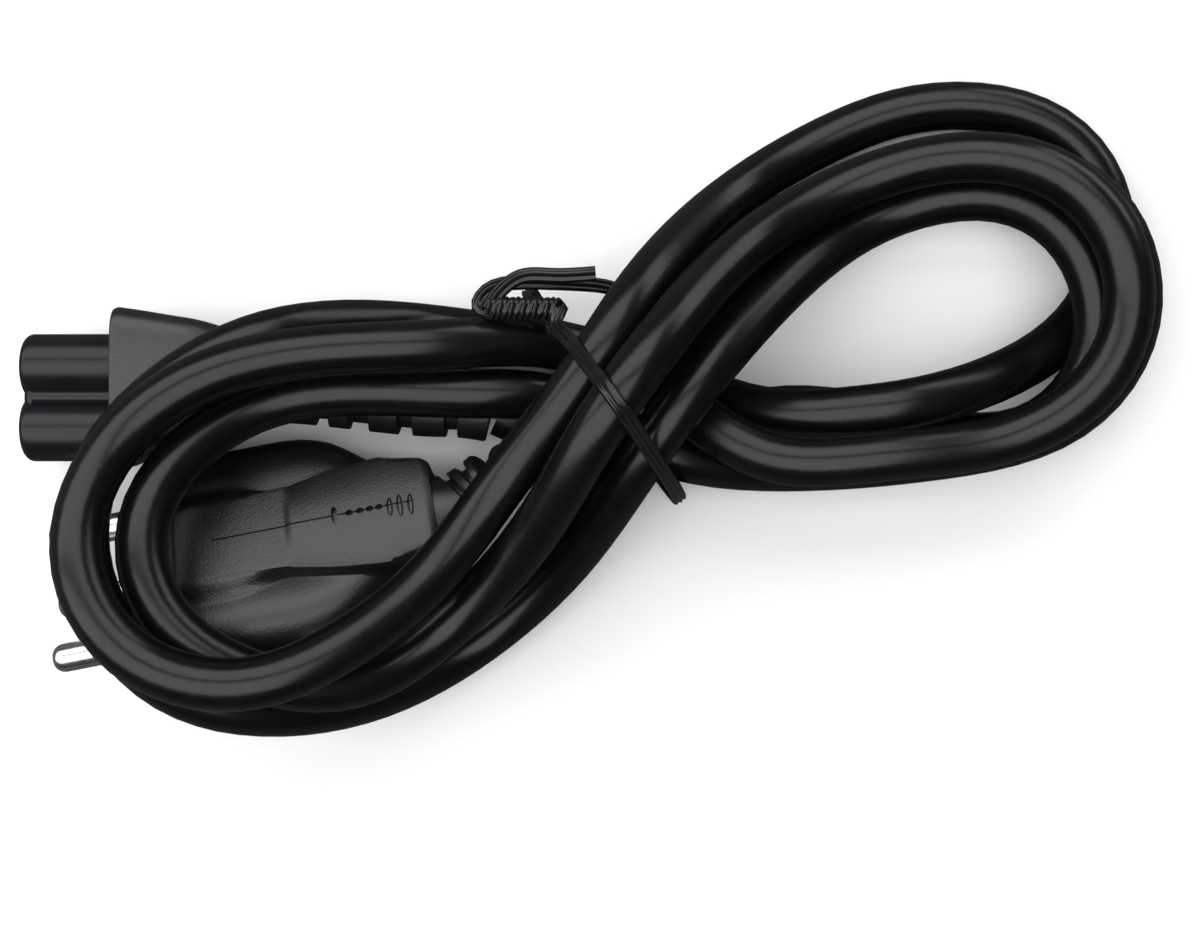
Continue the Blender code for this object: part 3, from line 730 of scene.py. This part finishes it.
def tie_stations():
    """Points down the ribbon, each with the way its flat side faces."""
    knot_steps = TIE_KNOT_TURNS * TIE_KNOT_STEPS
    axis = Vector((0.0, *TIE_KNOT_AXIS))
    first, second = [], []
    for k in range(knot_steps + 1):
        x = TIE_KNOT[0] + (TIE_KNOT[1] - TIE_KNOT[0]) * k / knot_steps
        turn = math.pi / 2 - 2 * math.pi * k / TIE_KNOT_STEPS
        outwards = Vector((0.0, math.cos(turn), math.sin(turn)))
        uneven = TIE_KNOT_LOOSENESS * math.sin(TIE_KNOT_DRIFT * k)
        first.append((Vector((x, 0, 0)) + axis + outwards * (TIE_KNOT_RADIUS + uneven), outwards))
        second.append((Vector((x, 0, 0)) + axis - outwards * (TIE_KNOT_RADIUS - uneven), -outwards))
    run = Vector((math.cos(TIE_PLANE_TURN), math.sin(TIE_PLANE_TURN), 0.0))
    up = Vector((0, 0, 1))
    start = Vector((*TIE_PLANE, 0.0))
    middle = start + run * TIE_LOOP_MIDDLE[0] + up * TIE_LOOP_MIDDLE[1]
    loop = []
    for distance, height in TIE_LOOP:
        spot = start + run * distance + up * height
        loop.append((spot, (spot - middle).normalized()))
    tail_top = [(Vector(spot), up) for spot in TIE_TAIL_TOP]
    tail_under = [(Vector(spot), up) for spot in TIE_TAIL_UNDER]
    return tail_top + first + loop + second[::-1] + tail_under


tie_line = tie_stations()
tie_points = smooth_line([spot for spot, facing in tie_line], TIE_LINE_STEPS)
tie_facing = smooth_line([facing for spot, facing in tie_line], TIE_LINE_STEPS)
bm = bmesh.new()
rings = []
for centre in tie_points:
    centre.z = max(centre.z, TIE_THICKNESS)
for i, centre in enumerate(tie_points):
    along = (tie_points[min(i + 1, len(tie_points) - 1)] - tie_points[max(i - 1, 0)]).normalized()
    over_it = (tie_facing[i] - along * along.dot(tie_facing[i])).normalized()
    across_it = along.cross(over_it)

    def outline(turn, centre=centre, over_it=over_it, across_it=across_it):
        w = math.cos(turn)
        edge = TIE_THICKNESS / 2 * min(1.0, TIE_EDGE * math.sqrt(max(1 - abs(w), 0.0)))
        ridge = math.cos(math.pi * TIE_RIDGES * w / 2) ** 2 * math.exp(-(w**2))
        height = edge * TIE_FLATNESS + TIE_RIDGE_HEIGHT * ridge
        return centre + across_it * (w * TIE_WIDTH / 2) + over_it * math.copysign(height, math.sin(turn))

    rings.append(add_ring(bm, TIE_SIDES, outline))
bridge_rings(bm, rings)
TIE_COLOUR = (0.004, 0.004, 0.004)
TIE_WORN = (0.008, 0.008, 0.008)
tie_plastic = plastic(
    "tie_plastic", TIE_COLOUR, TIE_WORN,
    roughness=0.22, unevenness=0.1, grains=2500.0, relief=0.1, gloss=0.5,
)
finish_piece(bm, "twist_tie_ribbon", tie_plastic, ["twist_tie"], crease=60.0)


# The floor and the light. A plain white sheet lies under two broad soft boxes set to the left, with a dark
# gap between their reflections on the lead, and a low one lights it from behind. The sheet is darker in a
# reflection than to the eye, as it would be if it were lit over a small area only.
FLOOR_SIZE = 6.0
FLOOR_COLOUR = (0.93, 0.93, 0.93)
FLOOR_IN_REFLECTIONS = (0.06, 0.06, 0.06)
bm = bmesh.new()
bmesh.ops.create_grid(bm, x_segments=1, y_segments=1, size=FLOOR_SIZE / 2)
floor_mesh = bpy.data.meshes.new("floor")
bm.to_mesh(floor_mesh)
bm.free()
floor = bpy.data.objects.new("floor", floor_mesh)
bpy.context.scene.collection.objects.link(floor)
white_sheet = bpy.data.materials.new("white_sheet")
white_sheet.use_nodes = True
nodes, links = white_sheet.node_tree.nodes, white_sheet.node_tree.links
nodes["Principled BSDF"].inputs["Roughness"].default_value = 0.9
seen_by = nodes.new("ShaderNodeLightPath")
sheet_shades = nodes.new("ShaderNodeMix")
sheet_shades.data_type = "RGBA"
sheet_shades.inputs["A"].default_value = (*FLOOR_COLOUR, 1.0)
sheet_shades.inputs["B"].default_value = (*FLOOR_IN_REFLECTIONS, 1.0)
links.new(seen_by.outputs["Is Glossy Ray"], sheet_shades.inputs["Factor"])
links.new(sheet_shades.outputs["Result"], nodes["Principled BSDF"].inputs["Base Color"])
floor_mesh.materials.append(white_sheet)


def soft_light(name, place, size, power, aim):
    """A rectangular light that looks at a point."""
    lamp = bpy.data.lights.new(name, "AREA")
    lamp.shape = "RECTANGLE"
    lamp.size = size[0]
    lamp.size_y = size[1]
    lamp.energy = power
    holder = bpy.data.objects.new(name, lamp)
    holder.location = place
    holder.rotation_euler = (Vector(aim) - Vector(place)).to_track_quat("-Z", "Y").to_euler()
    bpy.context.scene.collection.objects.link(holder)


# The name, then its place, its size, its power in watts and the point that it looks at.
LIGHTS = (
    ("near_light", (-1.35, -0.325, 1.0), (3.7, 1.05), 33.0, (-1.35, -0.325, 0.0)),
    ("far_light", (-1.35, 1.2, 1.0), (3.7, 1.6), 50.0, (-1.35, 1.2, 0.0)),
    ("low_light", (1.75, 2.1, 0.75), (2.4, 1.1), 20.0, (0.0, 0.0, 0.0)),
)
for light in LIGHTS:
    soft_light(*light)
world = bpy.data.worlds.new("studio")
world.use_nodes = True
world.node_tree.nodes["Background"].inputs["Color"].default_value = (0.5, 0.5, 0.52, 1.0)
world.node_tree.nodes["Background"].inputs["Strength"].default_value = 0.10
bpy.context.scene.world = world
bpy.context.scene.view_settings.view_transform = "Standard"
